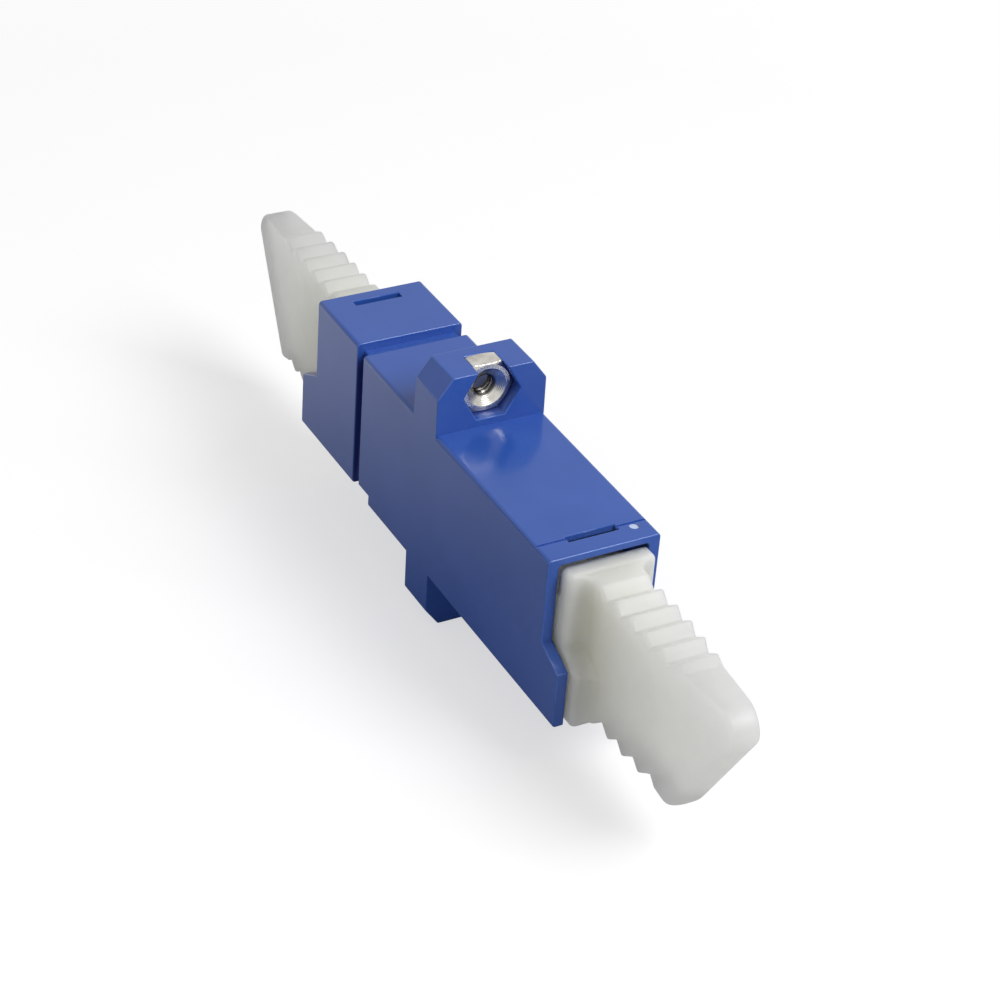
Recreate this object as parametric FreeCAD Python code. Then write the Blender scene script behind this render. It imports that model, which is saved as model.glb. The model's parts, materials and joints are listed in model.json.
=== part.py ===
import FreeCAD, Part
import math
import os

os.makedirs("parts", exist_ok=True)
V = FreeCAD.Vector

# Frame, in millimetres: X across the width, Y along the ports with the front port toward -Y, Z up.
# The origin lies on the ferrule axis, in the plane of the flange face that seats on the panel.

# main housing
body_w = 9.0              # outside width of both housings
body_top = 6.35
body_bottom = -6.35
front_rim_y = -20.65      # front port rim, upper part
main_rear_y = 8.6
notch_l = 1.8             # step in the underside at the rear end
notch_z = -5.4
edge_r = 0.3              # rounding of the long outside edges

# cheeks, the lower side walls that reach past each rim below a slant
cheek_len = 2.5
cheek_top = -0.5          # where the slant leaves the front rim
cheek_drop = 1.2

# rear housing, joined by a narrower neck and seated a little higher
rear_front_y = 9.6
rear_rim_y = 16.75
rear_lift = 0.45
neck_half_w = 3.9
neck_top = 6.1
neck_bottom = -5.2
tongue_l = 2.2            # side tongues that reach into the main housing
tongue_half_h = 3.5
tongue_t = 0.3
tongue_gap = 0.05

# port, the same opening at both ends
port_w = 7.2
port_top = 5.75
port_bottom = -4.8
port_r = 0.3

# flange for a two-screw panel, with a nut pocket in each ear
flange_t = 3.6
flange_half_h = 11.0
ear_cut_x = 1.2           # corner chamfer, across
ear_cut_z = 1.6           # corner chamfer, up
screw_pitch = 18.0
screw_hole_r = 1.1
nut_af = 4.0
nut_t = 1.6
nut_sink = 0.9            # nut face below the front of the flange
nut_gap = 0.03
nut_bore_r = 0.8
nut_lead_r = 1.3          # countersink on the front face
nut_cone = 0.25           # height of the turned-off corners
nut_face_r = 1.94         # flat face inside those corners

# latch windows in the top walls, with a shallow line and a gate mark beside the front one
window_w = 4.0
window_l = 0.65
front_window_y = -18.7
rear_window_y = 15.4
line_w = 0.2
line_depth = 0.12
gate_x = 3.2
gate_y = -19.1
gate_r = 0.38

# ferrule alignment, about the plane halfway between the rims
mid_y = -1.95
plate_t = 1.0
plate_r = 0.5
ledge_l = 1.0             # stop for the front plate
ledge_in = 0.65
tube_r = 2.2
tube_end = 6.65           # end of each holder tube from the middle plane
bore_r = 1.6              # the sleeve sits snugly in it
lip_r = 1.45
lip_t = 0.6
sleeve_r = 1.6
sleeve_bore_r = 1.25
sleeve_half = 5.7
sleeve_slit = 0.4

# dust plug, measured outward from the upper rim
plug_gap = 0.1            # between the plug and every wall of the port
insert_len = 6.0
insert_top = 3.4
collar_bottom = -6.2
collar_r = 0.5
collar_edge_r = 0.4       # rounding round the outline of the collar's face
collar_upper = 1.35       # collar face past the rim, upper part
collar_lower = 3.35       # the same beside the cheeks
fin_half_t = 2.0
fin_top = 5.5
fin_bottom = -5.8
fin_start = 1.0           # inside the collar
fin_tip_drop = 0.4        # smooth end of the top edge below the crests of its ribs
fin_tip_top = 20.35       # sharp top corner of the slanted end
fin_tip_bottom = 13.5     # sharp bottom corner of the slanted end
fin_tip_level = -6.4      # height of that corner
fin_corner_r = 2.0
taper_from = 8.0          # both sides draw in from here to the tip
fin_end_half_t = 1.0
fin_nose = 0.9            # how far the rounded end stands out over the full thickness
fin_root_r = 1.0          # concave root between fin and collar
rib_pitch = 1.9
rib_depth = 0.75
rib_round = 0.2
top_ribs = (2.8, 5)       # first crest and count
bottom_ribs = (3.7, 4)

# working allowances
over = 1.0                # how far a cut runs past the surface it starts from
bite = 0.5                # how far a fused form reaches into its neighbour
tiny = 0.01               # tolerance when edges are picked by place

half_w = body_w / 2
port_half = port_w / 2
plug_half = port_half - plug_gap
collar_top = port_top - plug_gap


def box(x0, x1, y0, y1, z0, z1):
    return Part.makeBox(x1 - x0, y1 - y0, z1 - z0, V(x0, y0, z0))


def side_prism(points, half):
    # a closed outline in Y and Z, carried across X
    wire = Part.makePolygon([V(-half, y, z) for y, z in points + points[:1]])
    return Part.Face(wire).extrude(V(2 * half, 0, 0))


def front_prism(points, y0, y1):
    # a closed outline in X and Z, carried along Y
    wire = Part.makePolygon([V(x, y0, z) for x, z in points + points[:1]])
    return Part.Face(wire).extrude(V(0, y1 - y0, 0))


def tube_y(r, y0, y1, z=0.0):
    return Part.makeCylinder(r, y1 - y0, V(0, y0, z), V(0, 1, 0))


def edges_along(shape, axis, least):
    # straight edges that run along one axis and are longer than the least length
    picked = []
    for edge in shape.Edges:
        run = edge.Vertexes[-1].Point - edge.Vertexes[0].Point
        if run.Length > least and abs(abs(run.dot(axis)) - run.Length) < 1e-6:
            picked.append(edge)
    return picked


def round_long_edges(shape, radius):
    return shape.makeFillet(radius, edges_along(shape, V(0, 1, 0), 0.5))


def bar(half, y0, y1, z0, z1, radius):
    # a bar along Y with rounded long edges
    return round_long_edges(box(-half, half, y0, y1, z0, z1), radius)


def turned(shape, centre_y):
    # half a turn about the vertical through the given place
    other = shape.copy()
    other.rotate(V(0, centre_y, 0), V(0, 0, 1), 180)
    return other


def hexagon(af, zc):
    # two flats level, so that corners point left and right
    r = af / math.sqrt(3.0)
    return [(r * math.cos(math.radians(60 * k)), zc + r * math.sin(math.radians(60 * k))) for k in range(6)]


def block(rim_y, back_y, out, lift):
    # a housing body in side view: rim, slanted cheeks and a flat back, facing out along Y
    top, bottom, slant = body_top + lift, body_bottom + lift, cheek_top + lift
    cheek_y = rim_y + out * cheek_len
    outline = [(back_y, top), (rim_y, top), (rim_y, slant),
               (cheek_y, slant - cheek_drop), (cheek_y, bottom), (back_y, bottom)]
    body = round_long_edges(side_prism(outline, half_w), edge_r)
    past = sorted((rim_y, rim_y + 2 * out * cheek_len))
    return body.cut(box(-port_half, port_half, past[0], past[1], bottom - over, top + over))


def window(y):
    return box(-window_w / 2, window_w / 2, y - window_l / 2, y + window_l / 2,
               port_top - over, body_top + rear_lift + over)


def side_tongues(gap):
    # a flat tongue on each side wall of the port, grown by the gap where it is a pocket
    both = []
    for s in (-1, 1):
        x0, x1 = sorted((s * (port_half - 2 * gap), s * (port_half + tongue_t + gap)))
        reach = tongue_half_h + gap
        both.append(box(x0, x1, main_rear_y - tongue_l - 2 * gap, main_rear_y + bite, -reach, reach))
    return both[0].fuse(both[1])


def flange():
    x_in, z_in = half_w - ear_cut_x, flange_half_h - ear_cut_z
    right = [(half_w, -z_in), (half_w, z_in), (x_in, flange_half_h)]
    left = [(-x_in, flange_half_h), (-half_w, z_in), (-half_w, -z_in)]
    return front_prism([(x_in, -flange_half_h)] + right + left + [(-x_in, -flange_half_h)], -flange_t, 0.0)


def nut_pocket(s):
    # a hexagon open toward the tip of the ear, and the screw hole behind it
    zc, floor_y = s * screw_pitch / 2, -flange_t + nut_sink + nut_t
    af = nut_af + 2 * nut_gap
    mouth = af / math.sqrt(3.0) / 2
    z0, z1 = sorted((zc + s * nut_af / 4, s * (flange_half_h + over)))
    pocket = front_prism(hexagon(af, zc), -flange_t - over, floor_y)
    pocket = pocket.fuse(box(-mouth, mouth, -flange_t - over, floor_y, z0, z1))
    return pocket.fuse(tube_y(screw_hole_r, -flange_t, over, zc))


def main_housing():
    body = block(front_rim_y, main_rear_y, -1, 0.0).fuse(flange()).removeSplitter()
    body = body.cut(box(-half_w - over, half_w + over, main_rear_y - notch_l, main_rear_y + over,
                        body_bottom - over, notch_z))
    body = body.cut(bar(port_half, front_rim_y - over, main_rear_y + over, port_bottom, port_top, port_r))
    ledge_y = mid_y - plate_t
    ledge = box(-port_half, port_half, ledge_y - ledge_l, ledge_y, port_bottom, port_top)
    ledge = ledge.cut(bar(port_half - ledge_in, ledge_y - ledge_l - over, ledge_y + over,
                          port_bottom + ledge_in, port_top - ledge_in, port_r))
    body = body.fuse(ledge).removeSplitter().cut(side_tongues(tongue_gap))
    body = body.cut(window(front_window_y))
    line_y = front_window_y - line_w / 2
    body = body.cut(box(-half_w - over, half_w + over, line_y, line_y + line_w,
                        body_top - line_depth, body_top + over))
    body = body.cut(Part.makeCylinder(gate_r, over, V(gate_x, gate_y, body_top - line_depth)))
    return body.cut(nut_pocket(1)).cut(nut_pocket(-1))


def rear_housing():
    body = block(rear_rim_y, rear_front_y, 1, rear_lift)
    neck = box(-neck_half_w, neck_half_w, main_rear_y, rear_front_y + bite, neck_bottom, neck_top)
    body = body.fuse(neck)
    body = body.cut(bar(port_half, main_rear_y - over, rear_rim_y + over, port_bottom, port_top, port_r))
    return body.fuse(side_tongues(0.0)).removeSplitter().cut(window(rear_window_y))


def sleeve_holder():
    # a square plate with a lipped tube, the front one of two set plate to plate
    plate = bar(port_half, mid_y - plate_t, mid_y, port_bottom, port_top, plate_r)
    holder = plate.fuse(tube_y(tube_r, mid_y - tube_end, mid_y)).removeSplitter()
    holder = holder.cut(tube_y(bore_r, mid_y - tube_end + lip_t, mid_y + over))
    return holder.cut(tube_y(lip_r, mid_y - tube_end - over, mid_y))


def alignment_sleeve():
    y0, y1 = mid_y - sleeve_half, mid_y + sleeve_half
    sleeve = tube_y(sleeve_r, y0, y1).cut(tube_y(sleeve_bore_r, y0 - over, y1 + over))
    return sleeve.cut(box(-sleeve_slit / 2, sleeve_slit / 2, y0 - over, y1 + over, 0.0, sleeve_r + over))


def nut(s):
    # a hexagon with its corners turned off to a cone on both faces
    zc, y0 = s * screw_pitch / 2, -flange_t + nut_sink
    y1 = y0 + nut_t
    corner_r = nut_af / math.sqrt(3.0) + nut_gap
    turned_r = [(0.0, y0), (nut_face_r, y0), (corner_r, y0 + nut_cone),
                (corner_r, y1 - nut_cone), (nut_face_r, y1), (0.0, y1)]
    wire = Part.makePolygon([V(r, y, zc) for r, y in turned_r + turned_r[:1]])
    blank = Part.Face(wire).revolve(V(0, 0, zc), V(0, 1, 0), 360)
    body = front_prism(hexagon(nut_af, zc), y0, y1).common(blank)
    body = body.cut(tube_y(nut_bore_r, y0 - over, y1 + over, zc))
    lead_in = Part.makeCone(nut_lead_r, nut_bore_r, nut_lead_r - nut_bore_r, V(0, y0, zc), V(0, 1, 0))
    return body.cut(lead_in)


def outward(points):
    # distances past the front rim turned into places along Y
    return [(front_rim_y - u, z) for u, z in points]


def rib_line(ribs, level, step):
    # crests at the level, valleys one step inside it
    start, count = ribs
    points = []
    for k in range(count):
        points += [(start + k * rib_pitch, level), (start + (k + 0.5) * rib_pitch, level + step)]
    return points + [(start + count * rib_pitch, level)]


def round_across(shape, radius, u0, u1):
    # rounds the sharp edges across X that lie between two distances past the rim
    sharp = []
    for edge in edges_along(shape, V(1, 0, 0), fin_half_t):
        point = edge.Vertexes[0].Point
        faces = shape.ancestorsOfType(edge, Part.Face)
        a, b = [face.normalAt(*face.Surface.parameter(point)) for face in faces]
        if u0 < front_rim_y - point.y < u1 and a.cross(b).Length > 0.1:
            sharp.append(edge)
    return shape.makeFillet(radius, sharp)


def round_end(tip_top, tip_bottom):
    # a blade section with an arc for its edge, carried along the slanted end
    along = V(0, tip_bottom[0] - tip_top[0], tip_top[1] - tip_bottom[1]).normalize()
    inward = V(1, 0, 0).cross(along) * -1
    reach = 2 * flange_half_h
    foot = V(0, front_rim_y - tip_bottom[0], tip_bottom[1]) - along * reach / 2
    back = inward * 2 * reach
    right, left = [foot + V(x, 0, 0) + inward * fin_nose for x in (fin_half_t, -fin_half_t)]
    edge = Part.Arc(right, foot, left).toShape()
    section = Part.Wire([edge] + Part.makePolygon([left, left + back, right + back, right]).Edges)
    return Part.Face(section).extrude(along * 2 * reach)


def fin():
    # the ribbed outline, drawn in toward the tip and rounded along its slanted end
    tip_top, tip_bottom = (fin_tip_top, fin_top - fin_tip_drop), (fin_tip_bottom, fin_tip_level)
    top = [(fin_start, fin_top)] + rib_line(top_ribs, fin_top, -rib_depth)
    top += [(top[-1][0] + rib_pitch / 2, fin_top - fin_tip_drop)]
    bottom = [(fin_start, fin_bottom)] + rib_line(bottom_ribs, fin_bottom, rib_depth)
    sheet = side_prism(outward(top + [tip_top, tip_bottom] + bottom[::-1]), fin_half_t)
    for corner_u in (fin_tip_top, fin_tip_bottom):
        sheet = round_across(sheet, fin_corner_r, corner_u - tiny, corner_u + tiny)
    sheet = round_across(sheet, rib_round, collar_lower, top[-1][0] + tiny)
    half_t = [(-fin_half_t, 0.0), (-fin_half_t, taper_from), (-fin_end_half_t, fin_tip_top),
              (fin_end_half_t, fin_tip_top), (fin_half_t, taper_from), (fin_half_t, 0.0)]
    wire = Part.makePolygon([V(x, front_rim_y - u, -flange_half_h) for x, u in half_t + half_t[:1]])
    sheet = sheet.common(Part.Face(wire).extrude(V(0, 0, 2 * flange_half_h)))
    return sheet.common(round_end(tip_top, tip_bottom))


def fin_roots(face_u, z0, z1):
    # concave quarter rounds where both sides of the fin meet the collar
    face_y = front_rim_y - face_u
    both = []
    for s in (-1, 1):
        x0, x1 = sorted((s * (fin_half_t - bite), s * (fin_half_t + fin_root_r)))
        hollow = V(s * (fin_half_t + fin_root_r), face_y - fin_root_r, z0 - over)
        quarter = box(x0, x1, face_y - fin_root_r, face_y + bite, z0, z1)
        both.append(quarter.cut(Part.makeCylinder(fin_root_r, z1 - z0 + 2 * over, hollow)))
    return both[0].fuse(both[1])


def round_face(collar):
    # rounds every edge between a face that looks outward and one that looks sideways
    outline = []
    for edge in collar.Edges:
        place = edge.valueAt((edge.FirstParameter + edge.LastParameter) / 2)
        faces = collar.ancestorsOfType(edge, Part.Face)
        a, b = [face.normalAt(*face.Surface.parameter(place)).y < -tiny for face in faces]
        if a != b:
            outline.append(edge)
    return collar.makeFillet(collar_edge_r, outline)


def dust_plug():
    step = cheek_top - cheek_drop
    outline = [(plug_gap, collar_top), (collar_upper, collar_top), (collar_upper, cheek_top),
               (collar_lower, step), (collar_lower, collar_bottom), (plug_gap, collar_bottom)]
    collar = round_face(round_long_edges(side_prism(outward(outline), plug_half), collar_r))
    insert = bar(plug_half, front_rim_y - bite, front_rim_y + insert_len,
                 port_bottom + plug_gap, insert_top, port_r)
    plug = collar.fuse(insert).fuse(fin())
    plug = plug.fuse(fin_roots(collar_upper, cheek_top, fin_top))
    return plug.fuse(fin_roots(collar_lower, fin_bottom + rib_depth, step)).removeSplitter()


front_holder = sleeve_holder()
front_plug = dust_plug()
nodes = {
    "main_housing": main_housing(),
    "rear_housing": rear_housing(),
    "front_sleeve_holder": front_holder,
    "rear_sleeve_holder": turned(front_holder, mid_y),
    "alignment_sleeve": alignment_sleeve(),
    "upper_nut": nut(1),
    "lower_nut": nut(-1),
    "front_dust_plug": front_plug,
    "rear_dust_plug": turned(front_plug, (front_rim_y + rear_rim_y) / 2),
}
for name, shape in nodes.items():
    shape.exportStep("parts/%s.step" % name)
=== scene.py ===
import json
import math

import bmesh
import bpy
import numpy as np
from mathutils import Matrix, Vector


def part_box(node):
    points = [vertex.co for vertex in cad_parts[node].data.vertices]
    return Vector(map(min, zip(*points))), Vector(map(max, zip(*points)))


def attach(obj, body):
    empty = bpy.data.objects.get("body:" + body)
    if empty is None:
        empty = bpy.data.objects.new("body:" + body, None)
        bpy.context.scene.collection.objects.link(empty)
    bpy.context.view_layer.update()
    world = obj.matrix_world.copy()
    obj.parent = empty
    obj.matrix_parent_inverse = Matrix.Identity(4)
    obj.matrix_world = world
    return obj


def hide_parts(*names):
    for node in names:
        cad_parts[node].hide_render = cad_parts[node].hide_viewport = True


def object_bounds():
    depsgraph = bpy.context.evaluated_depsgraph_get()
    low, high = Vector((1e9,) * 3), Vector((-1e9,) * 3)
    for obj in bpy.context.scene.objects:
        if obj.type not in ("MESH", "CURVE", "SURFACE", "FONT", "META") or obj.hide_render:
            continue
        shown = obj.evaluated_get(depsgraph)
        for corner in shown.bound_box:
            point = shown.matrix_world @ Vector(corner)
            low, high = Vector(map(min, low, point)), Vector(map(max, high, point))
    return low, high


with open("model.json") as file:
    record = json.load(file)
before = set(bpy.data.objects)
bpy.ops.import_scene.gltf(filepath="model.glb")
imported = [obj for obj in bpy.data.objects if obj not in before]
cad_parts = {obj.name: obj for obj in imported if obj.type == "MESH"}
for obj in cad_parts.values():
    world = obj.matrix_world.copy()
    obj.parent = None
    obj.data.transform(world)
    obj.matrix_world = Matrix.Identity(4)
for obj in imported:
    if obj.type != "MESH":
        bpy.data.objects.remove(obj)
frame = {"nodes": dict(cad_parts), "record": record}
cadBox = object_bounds()
mm = 0.001
mounts = {mount["name"]: mount for mount in frame["record"]["mounts"]}
frontRim = mounts["front_port"]["pos_m"][1] / mm   # upper rims of the two ports, along Y
rearRim = mounts["rear_port"]["pos_m"][1] / mm
rimMiddle = (frontRim + rearRim) / 2
print("frame:", len(frame["nodes"]), "nodes, rims at", round(frontRim, 2), "and", round(rearRim, 2), "mm")


def addNode(tree, kind, inputs=None, **settings):
    # one shader node; an input is a value or another node's output
    node = tree.nodes.new(kind)
    for name, value in settings.items():
        setattr(node, name, value)
    for name, value in (inputs or {}).items():
        if isinstance(value, bpy.types.NodeSocket):
            tree.links.new(value, node.inputs[name])
        else:
            node.inputs[name].default_value = value
    return node


def startMaterial(name):
    # a new material with an empty tree, and the object's own coordinates in it
    material = bpy.data.materials.new(name)
    material.use_nodes = True
    tree = material.node_tree
    tree.nodes.clear()
    coords = addNode(tree, "ShaderNodeTexCoord").outputs["Object"]
    return material, tree, coords


def closeMaterial(tree, values):
    # the surface itself, from values or outputs under the names of its sockets
    shader = addNode(tree, "ShaderNodeBsdfPrincipled", values)
    addNode(tree, "ShaderNodeOutputMaterial", {"Surface": shader.outputs["BSDF"]})


def calc(tree, operation, *values):
    # one sum on one or two values
    return addNode(tree, "ShaderNodeMath", dict(enumerate(values)), operation=operation).outputs[0]


def times(tree, product, *factors):
    # all of these multiplied together
    for factor in factors:
        product = calc(tree, "MULTIPLY", product, factor)
    return product


def components(tree, vector):
    # the X, Y and Z of a place
    return addNode(tree, "ShaderNodeSeparateXYZ", {"Vector": vector}).outputs


def farFrom(tree, vector, point=(0.0, 0.0, 0.0)):
    # distance of a place from a point
    values = {0: vector, 1: point}
    return addNode(tree, "ShaderNodeVectorMath", values, operation="DISTANCE").outputs["Value"]


def stretched(tree, vector, scale, centre=(0.0, 0.0, 0.0)):
    # coordinates scaled about a centre
    moved = [-c * s for c, s in zip(centre, scale)]
    values = {"Vector": vector, "Location": moved, "Scale": scale}
    return addNode(tree, "ShaderNodeMapping", values).outputs["Vector"]


def noise(tree, vector, size, detail, rough=0.5):
    # noise with features of about the given size in millimetres
    values = {"Vector": vector, "Scale": 1.0 / (size * mm), "Detail": detail, "Roughness": rough}
    return addNode(tree, "ShaderNodeTexNoise", values).outputs["Fac"]


def streaks(tree, coords, perMetre, detail):
    # noise drawn out along an axis, with about this many features to the metre along each one
    return noise(tree, stretched(tree, coords, perMetre), 1.0 / mm, detail)


def remap(tree, value, low, high, fromLow=0.3, fromHigh=0.7):
    # a value, as a rule noise, made to run from low to high and held there past its ends
    values = {"Value": value, "From Min": fromLow, "From Max": fromHigh, "To Min": low, "To Max": high}
    return addNode(tree, "ShaderNodeMapRange", values, clamp=True).outputs["Result"]


def fade(tree, value, low, high, places):
    # from low to high between two places in millimetres
    return remap(tree, value, low, high, *(place * mm for place in places))


def band(tree, value, low, high, soft=0.05):
    # 1 between two places in millimetres, 0 outside them
    rise = fade(tree, value, 0, 1, (low - soft, low + soft))
    return times(tree, rise, fade(tree, value, 1, 0, (high - soft, high + soft)))


def mottle(tree, coords, size, deep, light, places=(0.3, 0.7)):
    # one colour drifting into another over patches of about the given size in millimetres
    drift = addNode(tree, "ShaderNodeValToRGB", {"Fac": noise(tree, coords, size, 4.0)})
    for element, place, colour in zip(drift.color_ramp.elements, places, (deep, light)):
        element.position = place
        element.color = (*colour, 1.0)
    return drift.outputs["Color"]


def blendColour(tree, amount, *colours):
    # the first colour where the amount is 0, the second where it is 1; they are inputs 6 and 7 of the node
    first, second = (colour if isinstance(colour, bpy.types.NodeSocket) else (*colour, 1.0)
                     for colour in colours)
    values = {0: amount, 6: first, 7: second}
    return addNode(tree, "ShaderNodeMix", values, data_type="RGBA").outputs[2]


def relief(tree, height, depth, normal=None):
    # bump of the given depth in millimetres, over another one where there is one
    values = {"Height": height, "Strength": 1.0, "Distance": depth * mm}
    if normal is not None:
        values["Normal"] = normal
    return addNode(tree, "ShaderNodeBump", values).outputs["Normal"]


def skin(tree, coords, *layers):
    # bumps laid one over the other, each with its size in millimetres, its detail and its depth
    normal = None
    for size, detail, depth in layers:
        normal = relief(tree, noise(tree, coords, size, detail), depth, normal)
    return normal


bluePlastic = {
    "deep": (0.026, 0.090, 0.395),
    "light": (0.034, 0.104, 0.445),
    "cloud": 6.0,                       # mm, slow change between the two
    "wornHighlitEdge": (0.06, 0.145, 0.48),      # worn edges, paler also as a painted highlight along them
    "rubs": (0.8, 5.0, 0.7),            # mm, detail and roughness of the patches in which they are worn
    "rubStrength": (0.1, 0.75),
    "shade": (0.011, 0.028, 0.19),      # painted shade: dark blue down in the groove and at the back of the nut pockets, where shade falls
    "shadeRough": 0.4,                  # what it adds to the roughness
    "groove": (8.55, 9.65),             # mm along Y, its two walls
    "grooveTop": (5.2, 6.2),            # mm up, between which its painted shade fades out
    "pocket": (-3.3, -2.75, -1.0),      # mm along Y: where shade sets in, full shade, floor
    "pocketShade": 0.85,
    "pocketSides": (-2.4, 2.4, 0.1),    # mm along X, and how softly they end
    "pocketReach": (6.7, 10.85),        # mm up and down from the axis
    "gateHighlight": (0.62, 0.72, 0.92),      # pale dot painted at the gate mark: a painted highlight
    "gateHighlightStrength": 0.9,
    "gate": (3.2, -19.1, 6.25),         # mm, its middle
    "gateRadius": (0.3, 0.42),          # mm, between which it fades out
    "flow": (260.0, 45.0, 260.0),       # streaks to the metre, longest along the ports
    "gloss": (0.14, 0.2),               # roughness of the streaks
    "grain": (0.09, 2.0, 0.001),        # mm, detail and depth of the spark-eroded mould skin
    "swell": (3.5, 1.0, 0.012),         # the same for the slow waves under it
}


def makeBluePlastic():
    # clouded blue, paler on worn edges with a painted highlight along them, painted shade in the groove and
    # nut pockets, and a painted highlight dot at the gate mark
    look = bluePlastic
    material, tree, coords = startMaterial("bluePlastic")
    place = components(tree, coords)
    colour = mottle(tree, coords, look["cloud"], look["deep"], look["light"])

    # paler on the rounded edges: wear, and a painted highlight along them as well
    wearAndHighlight = addNode(tree, "ShaderNodeAttribute", attribute_name="edgeWearAndHighlight").outputs["Fac"]
    patchy = remap(tree, noise(tree, coords, *look["rubs"]), *look["rubStrength"])
    colour = blendColour(tree, times(tree, wearAndHighlight, patchy), colour, look["wornHighlitEdge"])

    # painted shade: darker where shade falls, down in the groove between the housings and at the back of
    # the nut pockets
    inGroove = band(tree, place["Y"], *look["groove"])
    inGroove = times(tree, inGroove, fade(tree, place["Z"], 1, 0, look["grooveTop"]))
    mouth, full, floor = look["pocket"]
    inPocket = times(tree, fade(tree, place["Y"], 0, look["pocketShade"], (mouth, full)),
                     band(tree, place["X"], *look["pocketSides"]),
                     band(tree, calc(tree, "ABSOLUTE", place["Z"]), *look["pocketReach"]),
                     band(tree, place["Y"], mouth, floor))
    paintedShade = calc(tree, "MAXIMUM", inGroove, inPocket)
    colour = blendColour(tree, paintedShade, colour, look["shade"])

    # painted highlight: a pale dot at the gate mark, where its dimple would catch the light
    fromGate = farFrom(tree, coords, [c * mm for c in look["gate"]])
    paintedGlint = fade(tree, fromGate, look["gateHighlightStrength"], 0, look["gateRadius"])
    colour = blendColour(tree, paintedGlint, colour, look["gateHighlight"])

    gloss = remap(tree, streaks(tree, coords, look["flow"], 3.0), *look["gloss"])
    rough = calc(tree, "ADD", gloss, times(tree, paintedShade, look["shadeRough"]))
    normal = skin(tree, coords, look["swell"], look["grain"])
    closeMaterial(tree, {"Base Color": colour, "Roughness": rough, "Normal": normal, "IOR": 1.5})
    return material


plugPlastic = {
    "deep": (0.705, 0.706, 0.63),
    "light": (0.755, 0.757, 0.68),
    "cloud": 4.0,                   # mm, slow change between the two
    "patches": (0.6, 4.0, 0.6),     # mm, detail and roughness of shinier and duller patches
    "gloss": (0.38, 0.55),          # roughness of these patches
    "grain": (0.14, 3.0, 0.004),    # mm, detail and depth of the mould skin
    "swell": (2.2, 2.0, 0.03),      # the same for the slow waves under it
    "reach": (1.0, 0.97, 0.9),      # how far red, green and blue light travel, as shares of the scatter
    "scatter": (5.0, 42.0),         # mm that light travels in the collar and out in the fin
    "clearing": (1.5, 13.0),        # mm past the rim between which one turns into the other
}


def makePlugPlastic():
    # milky plastic that lets more light through toward the end of the fin
    look = plugPlastic
    material, tree, coords = startMaterial("milkyPlastic")
    colour = mottle(tree, coords, look["cloud"], look["deep"], look["light"])
    rough = remap(tree, noise(tree, coords, *look["patches"]), *look["gloss"])
    normal = skin(tree, coords, look["swell"], look["grain"])
    fromMiddle = stretched(tree, coords, (1, 1, 1), (0, rimMiddle * mm, 0))
    away = calc(tree, "ABSOLUTE", components(tree, fromMiddle)["Y"])
    clearing = [rearRim - rimMiddle + past for past in look["clearing"]]
    scatter = fade(tree, away, *(travel * mm for travel in look["scatter"]), clearing)
    closeMaterial(tree, {"Base Color": colour, "Roughness": rough, "Normal": normal, "IOR": 1.42,
                         "Subsurface Weight": 1.0, "Subsurface Radius": look["reach"],
                         "Subsurface Scale": scatter})
    return material


nutMetal = {
    "dull": (0.56, 0.53, 0.47),
    "bright": (0.80, 0.78, 0.73),
    "stain": 0.9,                           # mm, patches of the one in the other
    "stained": (0.35, 0.62),                # where along the noise dull ends and bright begins
    "paintedShade": (0.07, 0.065, 0.06),
    "shadeReach": (0.86, 1.02),                  # mm from the axis, painted shade up to the first, none past the second
    "patches": (0.35, 3.0),                 # mm and detail of shinier and duller patches
    "gloss": (0.14, 0.3),                   # roughness of these patches
    "turning": 0.11,                        # mm between tool marks
    "turningDepth": 0.004,                  # mm
    "waveStep": 0.3,                        # metres that a ring of the wave texture takes at scale 1
    "scratches": (9000.0, 9000.0, 900.0),   # to the metre, longest up and down
    "scratchDepth": 0.003,                  # mm
}


def makeNutMetal(name, centre):
    # bright plate, tool marks as rings about the nut's own axis, and painted shade darkening the thread
    look = nutMetal
    material, tree, coords = startMaterial(name)
    plate = mottle(tree, coords, look["stain"], look["dull"], look["bright"], look["stained"])
    # painted shade: the thread darkened, down in the hole where shade falls
    fromAxis = farFrom(tree, stretched(tree, coords, (1.0, 0.0, 1.0), centre))
    colour = blendColour(tree, fade(tree, fromAxis, 0, 1, look["shadeReach"]), look["paintedShade"], plate)
    rough = remap(tree, noise(tree, coords, *look["patches"]), *look["gloss"])
    scratched = relief(tree, streaks(tree, coords, look["scratches"], 2.0), look["scratchDepth"])
    turned = {"Vector": stretched(tree, coords, (1.0, 1.0, 1.0), centre),
              "Scale": look["waveStep"] / (look["turning"] * mm), "Distortion": 1.2, "Detail": 2.0}
    rings = addNode(tree, "ShaderNodeTexWave", turned, wave_type="RINGS", rings_direction="Y")
    normal = relief(tree, rings.outputs["Fac"], look["turningDepth"], scratched)
    closeMaterial(tree, {"Base Color": colour, "Roughness": rough, "Normal": normal, "Metallic": 1.0})
    return material


holderPlastic = {
    "deep": (0.012, 0.03, 0.13),
    "light": (0.02, 0.045, 0.18),
    "cloud": 2.5,                   # mm, slow change between the two
    "patches": (0.5, 3.0),          # mm and detail of shinier and duller patches
    "gloss": (0.35, 0.55),          # roughness of these patches
    "grain": (0.1, 3.0, 0.004),     # mm, detail and depth of the mould skin
}


def makeHolderPlastic():
    # dark moulded plastic
    look = holderPlastic
    material, tree, coords = startMaterial("holderPlastic")
    colour = mottle(tree, coords, look["cloud"], look["deep"], look["light"])
    rough = remap(tree, noise(tree, coords, *look["patches"]), *look["gloss"])
    normal = skin(tree, coords, look["grain"])
    closeMaterial(tree, {"Base Color": colour, "Roughness": rough, "Normal": normal, "IOR": 1.5})
    return material


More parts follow.
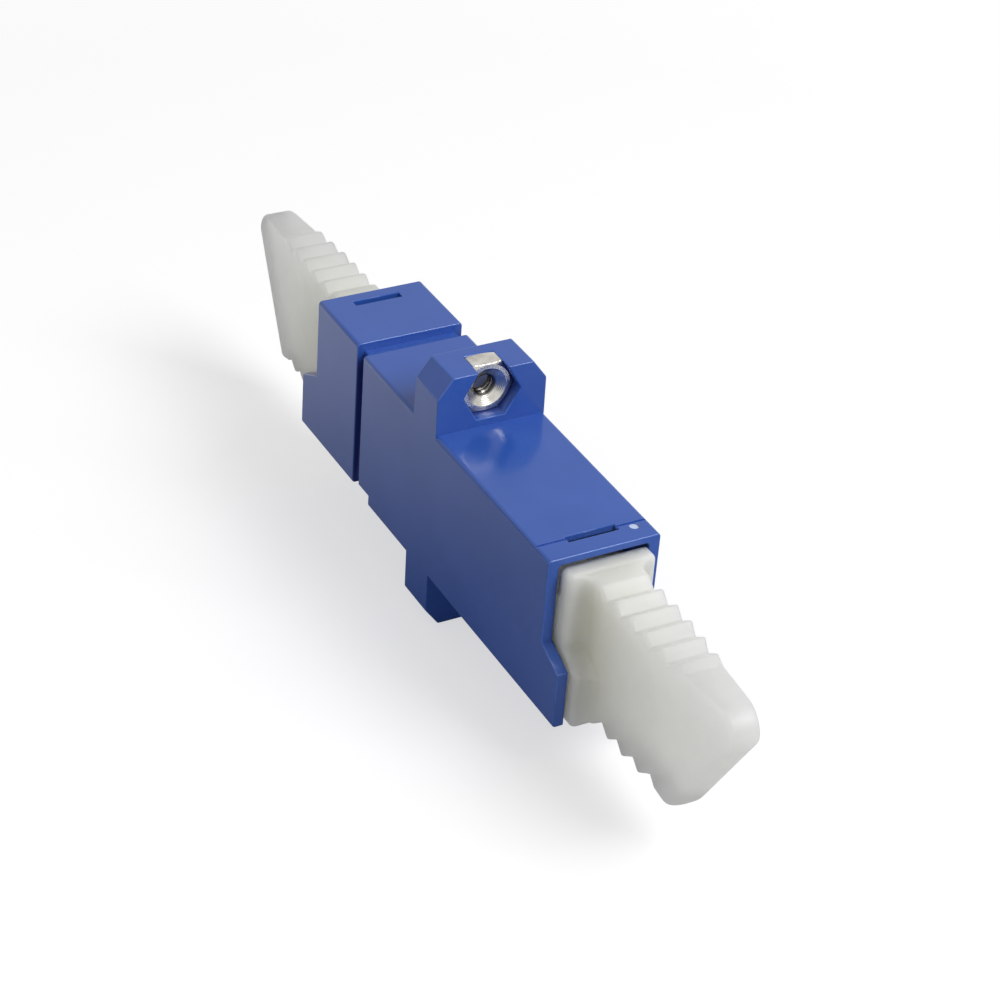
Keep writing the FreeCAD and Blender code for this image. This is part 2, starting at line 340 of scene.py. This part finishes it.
zirconia = {
    "deep": (0.84, 0.83, 0.78),
    "light": (0.9, 0.89, 0.86),
    "cloud": 1.2,                           # mm, slow change between the two
    "polish": (4000.0, 400.0, 4000.0),      # streaks to the metre, longest along the sleeve
    "gloss": (0.08, 0.2),                   # roughness of the streaks
    "grain": (0.2, 2.0, 0.001),             # mm, detail and depth of what polishing left
}


def makeZirconia():
    # polished white ceramic
    look = zirconia
    material, tree, coords = startMaterial("zirconia")
    colour = mottle(tree, coords, look["cloud"], look["deep"], look["light"])
    rough = remap(tree, streaks(tree, coords, look["polish"], 3.0), *look["gloss"])
    normal = skin(tree, coords, look["grain"])
    closeMaterial(tree, {"Base Color": colour, "Roughness": rough, "Normal": normal, "IOR": 2.1})
    return material


blue = makeBluePlastic()
milky = makePlugPlastic()
print("materials made")


def addObject(name, data):
    # a new object in the scene
    thing = bpy.data.objects.new(name, data)
    bpy.context.scene.collection.objects.link(thing)
    return thing


def showPiece(name, mesh, material, body, node):
    # a finished mesh that rides on a body and stands for a solid
    piece = addObject(name, mesh)
    mesh.materials.clear()
    mesh.materials.append(material)
    mesh.polygons.foreach_set("use_smooth", np.ones(len(mesh.polygons), bool))
    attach(piece, body)
    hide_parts(node)
    print(name, len(mesh.polygons), "faces")
    return piece


def weldMesh(mesh, nearer, outward=False):
    # joins points that lie nearer than this many millimetres, and turns the faces outward if asked
    bm = bmesh.new()
    bm.from_mesh(mesh)
    bmesh.ops.remove_doubles(bm, verts=bm.verts, dist=nearer * mm)
    if outward:
        bmesh.ops.recalc_face_normals(bm, faces=bm.faces)
    bm.to_mesh(mesh)
    bm.free()


def gridMesh(name, points, wrapRows, nearer=0.0002):
    # quads between neighbouring rows and columns of a grid of points; columns always close on themselves
    rows, cols = points.shape[:2]
    index = np.arange(rows * cols).reshape(rows, cols)
    low = index if wrapRows else index[:-1]
    high = np.roll(index, -1, 0) if wrapRows else index[1:]
    quads = np.stack([low, np.roll(low, -1, 1), np.roll(high, -1, 1), high], -1).reshape(-1, 4)
    mesh = bpy.data.meshes.new(name)
    mesh.vertices.add(rows * cols)
    mesh.vertices.foreach_set("co", (points * mm).astype(np.float32).ravel())
    mesh.loops.add(quads.size)
    mesh.loops.foreach_set("vertex_index", quads.astype(np.int32).ravel())
    mesh.polygons.add(len(quads))
    mesh.polygons.foreach_set("loop_start", np.arange(0, quads.size, 4, dtype=np.int32))
    mesh.update(calc_edges=True)
    weldMesh(mesh, nearer, True)
    return mesh


shellEdges = {
    "round": 0.11,          # mm, rounding of an open edge
    "segments": 3,
    "share": 0.3,           # of a narrow face that a rounding may take
    "least": 0.05,          # mm, an edge with less room stays sharp
    "sharp": 28.0,          # degrees, less than this is a curved face
    "flat": 0.5,            # degrees, triangles within this are made one face
    "weldSolid": 0.002,     # mm, points of the solid that are joined
    "weldRounded": 0.001,   # mm, points that the rounding leaves together
}


def smoothPatches(bm, sharp):
    # faces that run into each other without a sharp edge; width of such a patch = 2 * area / border
    widths, seen = {}, set()
    for first in bm.faces:
        if first in seen:
            continue
        patch, queue = [], [first]
        seen.add(first)
        while queue:
            face = queue.pop()
            patch.append(face)
            for edge in face.edges:
                for other in edge.link_faces:
                    if edge not in sharp and other not in seen:
                        seen.add(other)
                        queue.append(other)
        border = sum(edge.calc_length() for face in patch for edge in face.edges if edge in sharp)
        width = 2 * sum(face.calc_area() for face in patch) / max(border, 1e-9)
        widths.update((face, width) for face in patch)
    return widths


def weighEdges(bm, weight):
    # an outer edge gets its share of the full rounding, less beside narrow faces; the others stay sharp
    look = shellEdges
    sharp = {edge for edge in bm.edges
             if len(edge.link_faces) == 2 and edge.calc_face_angle() > math.radians(look["sharp"])}
    widths = smoothPatches(bm, sharp)
    for edge in sharp:
        room = look["share"] * min(widths[face] for face in edge.link_faces)
        if edge.is_convex and room > look["least"] * mm:
            edge[weight] = min(1.0, room / (look["round"] * mm))
        else:
            edge.smooth = False


def roundEdges(name, mesh):
    # the mesh with its weighed edges rounded; the new faces get the second material index
    rough = addObject(name + "Rough", mesh)
    mesh.materials.append(blue)
    mesh.materials.append(blue)
    rounding = rough.modifiers.new("rounding", "BEVEL")
    rounding.limit_method = "WEIGHT"
    rounding.width = shellEdges["round"] * mm
    rounding.segments = shellEdges["segments"]
    rounding.use_clamp_overlap = False
    rounding.material = 1
    done = bpy.data.meshes.new_from_object(rough.evaluated_get(bpy.context.evaluated_depsgraph_get()))
    bpy.data.objects.remove(rough)
    done.name = name
    return done


def markWearAndHighlight(mesh):
    # 1 in the middle of each rounded edge, 0 where it runs out into the flat faces
    count = len(mesh.polygons)
    onEdge, size = np.zeros(count, np.int32), np.zeros(count, np.int32)
    mesh.polygons.foreach_get("material_index", onEdge)
    mesh.polygons.foreach_get("loop_total", size)
    corner = np.zeros(len(mesh.loops), np.int32)
    mesh.loops.foreach_get("vertex_index", corner)
    flat = np.bincount(corner, np.repeat(1 - onEdge, size), len(mesh.vertices))
    wear = mesh.attributes.new("edgeWearAndHighlight", "FLOAT", "POINT")
    wear.data.foreach_set("value", (flat == 0).astype(np.float32))
    mesh.polygons.foreach_set("material_index", np.zeros(count, np.int32))


def mouldedShell(name, node, body):
    # a welded copy of the solid's mesh with its outer edges rounded and marked for wear and a painted
    # highlight
    look = shellEdges
    bm = bmesh.new()
    bm.from_mesh(frame["nodes"][node].data)
    weight = bm.edges.layers.float.new("bevel_weight_edge")
    bmesh.ops.remove_doubles(bm, verts=bm.verts, dist=look["weldSolid"] * mm)
    bmesh.ops.dissolve_limit(bm, angle_limit=math.radians(look["flat"]), verts=bm.verts, edges=bm.edges)
    weighEdges(bm, weight)
    mesh = bpy.data.meshes.new(name)
    bm.to_mesh(mesh)
    bm.free()
    done = roundEdges(name, mesh)
    weldMesh(done, look["weldRounded"])
    markWearAndHighlight(done)
    piece = showPiece(name, done, blue, body, node)
    piece.modifiers.new("evenShading", "WEIGHTED_NORMAL").keep_sharp = True


mouldedShell("mainHousingShell", "main_housing", "coupler")
mouldedShell("rearHousingShell", "rear_housing", "coupler")

plug = {
    # mm: lengths count outward from the rim, tops and bottoms up from the axis, halves across it
    "insertLength": 6.0, "insertHalf": 3.49, "insertTop": 3.4, "insertBottom": -4.7,
    "insertRound": 0.3, "insertEdge": 0.12,
    "collarStart": 0.1, "collarHalf": 3.5, "collarTop": 5.65, "collarBottom": -6.2,
    "collarRound": 0.5, "collarEdge": 0.4,
    "collarUpper": 1.35, "collarLower": 3.35, "stepTop": -0.5, "stepBottom": -1.7,   # its stepped face
    "finHalf": 2.0, "finTop": 5.5, "finBottom": -5.8, "finRound": 0.3,
    "rootRadius": 1.0,                             # hollow where the fin meets the collar
    "ribPitch": 1.9, "ribDepth": 0.75, "ribSoftness": 0.975,
    "topRibs": (2.8, 5), "bottomRibs": (3.7, 4),   # where they start, and how many
    "taperFrom": 8.0, "tipHalf": 1.0,              # the fin draws in from here to this at its tip
    "tipTop": 20.35, "tipBottom": 13.5, "tipDrop": 0.4, "tipLevel": -6.4,   # its slanted end
    "cornerRadius": 2.0, "nose": 0.9, "noseBlend": 8,
    "fullest": 0.95,                # corner radius as a share of the half width, at most
    "hair": 0.01,                   # least step between two rings, so that no face closes up
    "backRings": (0.0, 0.5, 0.9),   # shares of the half width over which the back end closes
    "sideRings": (0.5, 14),         # mm past the back end where the straight sides start, and rings on them
    "closer": (0.08, 0.06),         # shares of the fin at its root and end that have closer rings
    "finRings": (24, 190, 26),      # how many at the root, between and at the end
    "crisp": 50.0,                  # degrees, edges past this are shaded sharp
}


def ringSamples(side=46, flat=6, arc=8):
    # once round a rounded rectangle: where each sample's corner centre lies, from -1 to 1,
    # and which way the sample faces
    up = np.linspace(-1, 1, side, endpoint=False)
    across = np.linspace(1, -1, flat, endpoint=False)
    turn = np.linspace(0, np.pi / 2, arc, endpoint=False)
    corners = ((1, 1, 0), (-1, 1, np.pi / 2), (-1, -1, np.pi), (1, -1, 1.5 * np.pi))
    quarter = [np.stack([np.full(arc, cx), np.full(arc, cz), np.cos(turn + a), np.sin(turn + a)])
               for cx, cz, a in corners]
    one, none = np.ones, np.zeros
    straight = [np.stack([one(side), up, one(side), none(side)]),
                np.stack([across, one(flat), none(flat), one(flat)]),
                np.stack([-one(side), -up, -one(side), none(side)]),
                np.stack([-across, -one(flat), none(flat), -one(flat)])]
    return np.concatenate([part for pair in zip(straight, quarter) for part in pair], 1)


def ribWave(distance, ribs, look):
    # rounded triangle wave, 0 on a crest and one rib depth in a valley, only along the ribbed stretch
    start, count = ribs
    phase = (distance - start) / look["ribPitch"]
    wave = np.arccos(look["ribSoftness"] * np.cos(2 * np.pi * phase)) / np.pi
    least = np.arccos(look["ribSoftness"]) / np.pi
    inside = (phase > 0) & (phase < count)
    return np.where(inside, look["ribDepth"] * (wave - least) / (1 - 2 * least), 0.0)


def cornerCut(depth, angle, radius):
    # how far a rounded corner falls short of the sharp one, along the end, at a depth inside that end
    reach = radius * (1 + np.cos(angle))
    arc = np.sqrt(np.clip(radius ** 2 - (depth - radius) ** 2, 0, None))
    short = radius / np.tan(angle / 2) - depth / np.tan(angle) - arc
    return np.where(depth < reach, short, 0.0)


def quarterRound(edge, steps=7):
    # inset and depth left along a quarter circle of this radius
    turn = np.linspace(0, np.pi / 2, steps)
    return edge * (1 - np.cos(turn)), edge * (1 - np.sin(turn))


def collarFace(z, look):
    # how far out the collar's face lies at a height
    return np.interp(z, [look["stepBottom"], look["stepTop"]], [look["collarLower"], look["collarUpper"]])


def finLean(look):
    # angle of the fin's end away from upright
    rise = look["finTop"] - look["tipDrop"] - look["tipLevel"]
    return math.atan2(look["tipTop"] - look["tipBottom"], rise)


def finEnd(z, look):
    # how far out the fin's slanted end lies at a height
    return look["tipBottom"] + (z - look["tipLevel"]) * math.tan(finLean(look))


def stations(own, toCollar, toEnd, half, low, high, corner):
    # one column for each ring; what is given once is repeated
    return np.stack(np.broadcast_arrays(own, toCollar, toEnd, half, low, high, corner)).astype(float)


def insertRings(look):
    # the closed back end, its rounded edge and the straight sides down in the port
    length, half = look["insertLength"], look["insertHalf"]
    low, high = look["insertBottom"], look["insertTop"]
    edge, corner = look["insertEdge"], look["insertRound"]
    inset, ahead = (steps[::-1] for steps in quarterRound(edge))
    shut = np.array(look["backRings"])
    short = 0.5 * (1 - shut) * half
    back = stations(-length, 0, 0, shut * half, low + edge + short, high - edge - short,
                    np.minimum(shut * half, corner))
    rounded = stations(-length + ahead, 0, 0, half - inset, low + inset, high - inset, corner)
    past, count = look["sideRings"]
    side = stations(np.linspace(-length + past, look["collarStart"], count), 0, 0, half, low, high, corner)
    return [back, rounded, side]


def collarRings(look):
    # the step out to the collar, its sides and the rounded edge of its face
    start, half, corner = look["collarStart"], look["collarHalf"], look["collarRound"]
    low, high = look["collarBottom"], look["collarTop"]
    grow = np.linspace(0, 1, 4)[1:]
    back = stations(start, 0, 0, look["insertHalf"] + grow * (half - look["insertHalf"]),
                    look["insertBottom"] + grow * (low - look["insertBottom"]),
                    look["insertTop"] + grow * (high - look["insertTop"]), corner)
    along = np.linspace(0.1, 0.6, 6)
    side = stations(start * (1 - along), along, 0, half, low, high, corner)
    inset, ahead = quarterRound(look["collarEdge"])
    rounded = stations(-ahead, 1, 0, half - inset,
                       np.minimum(low + inset, look["finBottom"] - look["hair"]),
                       np.maximum(high - inset, look["finTop"] + look["hair"]), corner)
    return [back, side, rounded]


def finRings(look):
    # share t of the way from the collar's face to the slanted end; the ribs, the drop past the last one
    # and the rounded corners of the end are taken off the top and put on the bottom
    lean, pitch, radius = finLean(look), look["ribPitch"], look["cornerRadius"]
    atRoot, atEnd = look["closer"]
    rootRings, middleRings, endRings = look["finRings"]
    t = np.concatenate([np.linspace(0, atRoot, rootRings),
                        np.linspace(atRoot, 1 - atEnd, middleRings)[1:],
                        1 - atEnd * np.cos(np.linspace(0, np.pi / 2, endRings)[1:])])
    runTop = look["tipTop"] - look["collarUpper"]
    runBottom = look["tipBottom"] - look["collarLower"]
    uTop = look["collarUpper"] + t * runTop
    uBottom = look["collarLower"] + t * runBottom
    lastTop, lastBottom = (look[ribs][0] + look[ribs][1] * pitch for ribs in ("topRibs", "bottomRibs"))
    high = look["finTop"] - ribWave(uTop, look["topRibs"], look)
    high = high - look["tipDrop"] * np.clip(2 * (uTop - lastTop) / pitch, 0, 1)
    high = high - cornerCut((1 - t) * runTop * math.cos(lean), np.pi / 2 - lean, radius) * math.cos(lean)
    low = look["finBottom"] + ribWave(uBottom, look["bottomRibs"], look)
    fall = look["finBottom"] - look["tipLevel"]
    low = low - fall * np.clip((uBottom - lastBottom) / (look["tipBottom"] - lastBottom), 0, 1)
    low = low + cornerCut((1 - t) * runBottom * math.cos(lean), np.pi / 2 + lean, radius) * math.cos(lean)
    return stations(0, 1, t, look["finHalf"], low, high, look["finRound"])


def finThickness(u, face, end, look):
    # the fin flares into the collar over a quarter round, draws in toward the tip and ends in an arc
    root, nose, blend = look["rootRadius"], look["nose"], look["noseBlend"]
    off = np.clip(u - face, 0, root)
    flare = root - np.sqrt(root ** 2 - (root - off) ** 2)
    thick = np.interp(u, [look["taperFrom"], look["tipTop"]], [look["finHalf"], look["tipHalf"]])
    bend = (look["finHalf"] ** 2 + nose ** 2) / (2 * nose)
    depth = np.clip((end - u) * math.cos(finLean(look)), 0, None)
    arc = np.where(depth < bend, np.sqrt(np.clip(2 * bend * depth - depth ** 2, 1e-12, None)), bend)
    return thick * arc / (thick ** blend + arc ** blend) ** (1 / blend) + flare


def plugPoints(look):
    # rings of a rounded rectangle carried outward: insert, stepped collar, then the fin to its end;
    # distance u of a sample = own + toCollar * collarFace(z) + toEnd * (finEnd(z) - collarFace(z))
    fin = finRings(look)
    rows = np.concatenate([*insertRings(look), *collarRings(look), fin], 1)
    isFin = (np.arange(rows.shape[1]) >= rows.shape[1] - fin.shape[1])[:, None]
    own, toCollar, toEnd, half, low, high, corner = rows[:, :, None]
    cx, cz, nx, nz = ringSamples()[:, None, :]
    z = (low + high) / 2 + cz * ((high - low) / 2 - corner) + nz * corner
    face, end = collarFace(z, look), finEnd(z, look)
    u = own + toCollar * face + toEnd * (end - face)
    half = np.where(isFin, finThickness(u, face, end, look), half)
    corner = np.minimum(corner, look["fullest"] * half)
    x = cx * (half - corner) + nx * corner
    return np.stack([x, u, z], -1)


def makePlug(name, node, body, outward, rim):
    # the plug set at its rim, facing outward along Y
    points = plugPoints(plug)
    place = np.stack([points[..., 0] * -outward, rim + outward * points[..., 1], points[..., 2]], -1)
    mesh = gridMesh(name, place, False)
    showPiece(name, mesh, milky, body, node)
    mesh.set_sharp_from_angle(angle=math.radians(plug["crisp"]))


makePlug("frontPlugSkin", "front_dust_plug", "front_plug", -1, frontRim)
makePlug("rearPlugSkin", "rear_dust_plug", "rear_plug", 1, rearRim)

nut = {
    "bore": 0.8,                                # mm, radius
    "lead": 1.6, "leadDepth": 0.5,              # mm, countersink at the front
    "backLead": 0.95, "backDepth": 0.15,        # mm, and at the back
    "cone": 0.25,                               # mm, height over which the corners are turned off
    "flatShare": 0.485, "cornerShare": 0.62,    # radius at its ends, as shares of the width across flats
    "soft": 0.018,                              # mm, rounding where hexagon and cone meet
    "threadPitch": 0.4, "threadDepth": 0.17,    # mm
    "threadFrom": 0.2, "threadFade": 0.12,      # mm from either end, start of the thread and its run-in
    "turnSteps": 144, "wallSteps": 40, "faceSteps": 8, "leadSteps": 6, "holeSteps": 90,
    "crisp": 32.0,                              # degrees, edges past this are shaded sharp
}


def nutPoints(look, flats, y0, y1):
    # radius at an angle and height: the lesser of the hexagon and the turned cone, rounded where they meet;
    # inside, the bore plus a triangle wave that climbs one pitch a turn
    angle = np.linspace(0, 2 * np.pi, look["turnSteps"], endpoint=False)[None, :]
    hexagon = flats / 2 / np.cos(np.mod(angle, np.pi / 3) - np.pi / 6)

    def fromEnd(y):
        return np.minimum(y - y0, y1 - y)

    def outside(y):
        least, most = look["flatShare"] * flats, look["cornerShare"] * flats
        cone = least + fromEnd(y) * (most - least) / look["cone"]
        return -look["soft"] * np.logaddexp(-hexagon / look["soft"], -cone / look["soft"])

    def thread(y):
        turn = np.mod(y / look["threadPitch"] - angle / (2 * np.pi), 1)
        grown = np.clip((fromEnd(y) - look["threadFrom"]) / look["threadFade"], 0, 1)
        return look["bore"] + grown * look["threadDepth"] * (1 - np.abs(2 * turn - 1))

    half = (y1 - y0) / 2
    wall = ((y0 + y1) / 2 - half * np.cos(np.linspace(0, np.pi, look["wallSteps"])))[:, None]
    face = np.linspace(0, 1, look["faceSteps"])[1:-1, None]
    leadIn = np.linspace(0, 1, look["leadSteps"])[:, None]
    hole = np.linspace(y1 - look["backDepth"], y0 + look["leadDepth"], look["holeSteps"])[1:-1, None]
    start, end = np.full_like(wall[:1], y0), np.full_like(wall[:1], y1)
    lead, back, bore = look["lead"], look["backLead"], look["bore"]
    # front face, sides, back face, back countersink, thread, front countersink
    radius = [lead + face * (outside(start) - lead),
              outside(wall),
              outside(end) + face * (back - outside(end)),
              back - leadIn * (back - bore) + 0 * angle,
              thread(hole),
              bore + leadIn * (lead - bore) + 0 * angle]
    height = [y0 + 0 * face,
              wall,
              y1 + 0 * face,
              y1 - leadIn * look["backDepth"],
              hole,
              y0 + (1 - leadIn) * look["leadDepth"]]
    r = np.concatenate(radius)
    y = np.concatenate(height) + 0 * angle
    return np.stack([r * np.cos(angle), y, r * np.sin(angle)], -1)


def makeNut(name, node):
    # a threaded nut in the place of the solid one, with a metal centred on it
    low, high = (np.array(corner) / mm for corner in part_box(node))
    middle = (low + high) / 2
    points = nutPoints(nut, high[2] - low[2], low[1], high[1])
    points[..., 2] += middle[2]
    mesh = gridMesh(name, points, True)
    metal = makeNutMetal(name + "Metal", tuple(middle * mm))
    showPiece(name, mesh, metal, "coupler", node)
    mesh.set_sharp_from_angle(angle=math.radians(nut["crisp"]))


makeNut("upperNutThreaded", "upper_nut")
makeNut("lowerNutThreaded", "lower_nut")

holder, ceramic = makeHolderPlastic(), makeZirconia()
innerParts = {"front_sleeve_holder": holder, "rear_sleeve_holder": holder, "alignment_sleeve": ceramic}
for node, finish in innerParts.items():
    for place in frame["nodes"][node].material_slots:
        place.material = finish
print("inner parts finished")

studio = {
    "floorHalf": 1.5,               # metres
    "floorAlbedo": (0.5, 0.5, 0.5),
    "floorSeen": (0.58, 0.86),      # glow of the floor where it is seen, near the object and far from it
    "farFloor": (100.0, 450.0),     # mm from the origin between which the one turns into the other
    "mirrored": (0.0, 48.0),        # mm along Y between which the glow comes into reflections
    "world": 0.3,
    "worldMirrored": 0.8,           # in reflections, the lamps take up part of a real studio
}
lamps = {
    # watts, place and size in metres
    "key": (2.4, (0.20, -0.30, 0.42), 0.30),
    "fill": (0.22, (-0.36, -0.10, 0.24), 0.30),
}


def seenRay(tree, *kinds):
    # 1 for camera rays and the other kinds named, which show the stage itself
    path = addNode(tree, "ShaderNodeLightPath").outputs
    total = path["Is Camera Ray"]
    for kind in kinds:
        total = calc(tree, "MAXIMUM", total, path[kind])
    return total


def makeFloor():
    # a matt sheet under the object, which glows where it is seen and so runs out into white
    reach, level = studio["floorHalf"], cadBox[0].z
    mesh = bpy.data.meshes.new("floor")
    corners = [(x * reach, y * reach, level) for x, y in ((-1, -1), (1, -1), (1, 1), (-1, 1))]
    mesh.from_pydata(corners, [], [(0, 1, 2, 3)])
    floor = addObject("floor", mesh)
    material, tree, coords = startMaterial("paleFloor")
    matt = addNode(tree, "ShaderNodeBsdfDiffuse", {"Color": (*studio["floorAlbedo"], 1.0)}).outputs[0]
    behind = fade(tree, components(tree, coords)["Y"], 0, 1, studio["mirrored"])
    glossy = times(tree, addNode(tree, "ShaderNodeLightPath").outputs["Is Glossy Ray"], behind)
    shown = calc(tree, "MAXIMUM", seenRay(tree, "Is Transmission Ray"), glossy)
    glowing = fade(tree, farFrom(tree, coords), *studio["floorSeen"], studio["farFloor"])
    glow = addNode(tree, "ShaderNodeEmission", {"Strength": times(tree, shown, glowing)}).outputs[0]
    both = addNode(tree, "ShaderNodeAddShader", {0: matt, 1: glow}).outputs[0]
    addNode(tree, "ShaderNodeOutputMaterial", {"Surface": both})
    mesh.materials.append(material)


def makeWorld():
    # an even white surround, dim as a light, brighter in reflections and white where it is seen
    world = bpy.data.worlds.new("studio")
    bpy.context.scene.world = world
    world.use_nodes = True
    tree = world.node_tree
    tree.nodes.clear()
    mirrored = remap(tree, seenRay(tree, "Is Glossy Ray", "Is Transmission Ray"),
                     studio["world"], studio["worldMirrored"], 0.0, 1.0)
    sky = {"Color": (1.0, 1.0, 1.0, 1.0), "Strength": calc(tree, "MAXIMUM", mirrored, seenRay(tree))}
    surround = addNode(tree, "ShaderNodeBackground", sky).outputs[0]
    addNode(tree, "ShaderNodeOutputWorld", {"Surface": surround})


def addLamp(name, power, place, size):
    # a square lamp that looks at the origin
    data = bpy.data.lights.new(name, "AREA")
    data.energy, data.size = power, size
    lamp = addObject(name, data)
    lamp.location = place
    lamp.rotation_euler = (-Vector(place)).to_track_quat("-Z", "Y").to_euler()


makeFloor()
makeWorld()
for lampName, values in lamps.items():
    addLamp(lampName, *values)
print("stage lit")

lens = {
    "azimuth": -30.544, "elevation": 33.984, "roll": 4.508,   # degrees
    "focal": 2662.9, "imageWidth": 1000.0,                    # pixels
    "distance": 199.307, "aside": 1.125, "above": -0.327,     # mm from the aim point
    "aimY": -3.6,                                             # mm, front face of the flange
}


def makeCamera():
    # the view that the photo was taken from
    a, e, r = (math.radians(lens[key]) for key in ("azimuth", "elevation", "roll"))
    back = Vector((math.sin(a) * math.cos(e), -math.cos(a) * math.cos(e), math.sin(e)))
    level = Vector((math.cos(a), math.sin(a), 0.0))
    upright = back.cross(level)
    right = level * math.cos(r) + upright * math.sin(r)
    up = upright * math.cos(r) - level * math.sin(r)
    place = right * lens["aside"] + up * lens["above"] + back * lens["distance"]
    place = place + Vector((0, lens["aimY"], 0))
    data = bpy.data.cameras.new("camera")
    data.sensor_width = 36.0
    data.sensor_fit = "HORIZONTAL"
    data.lens = data.sensor_width * lens["focal"] / lens["imageWidth"]
    data.clip_start = 0.01
    camera = addObject("camera", data)
    turn = Matrix((right, up, back)).transposed().to_4x4()
    camera.matrix_world = Matrix.Translation(place * mm) @ turn
    bpy.context.scene.camera = camera


makeCamera()
bpy.context.scene.view_settings.view_transform = "Standard"
print("camera set")
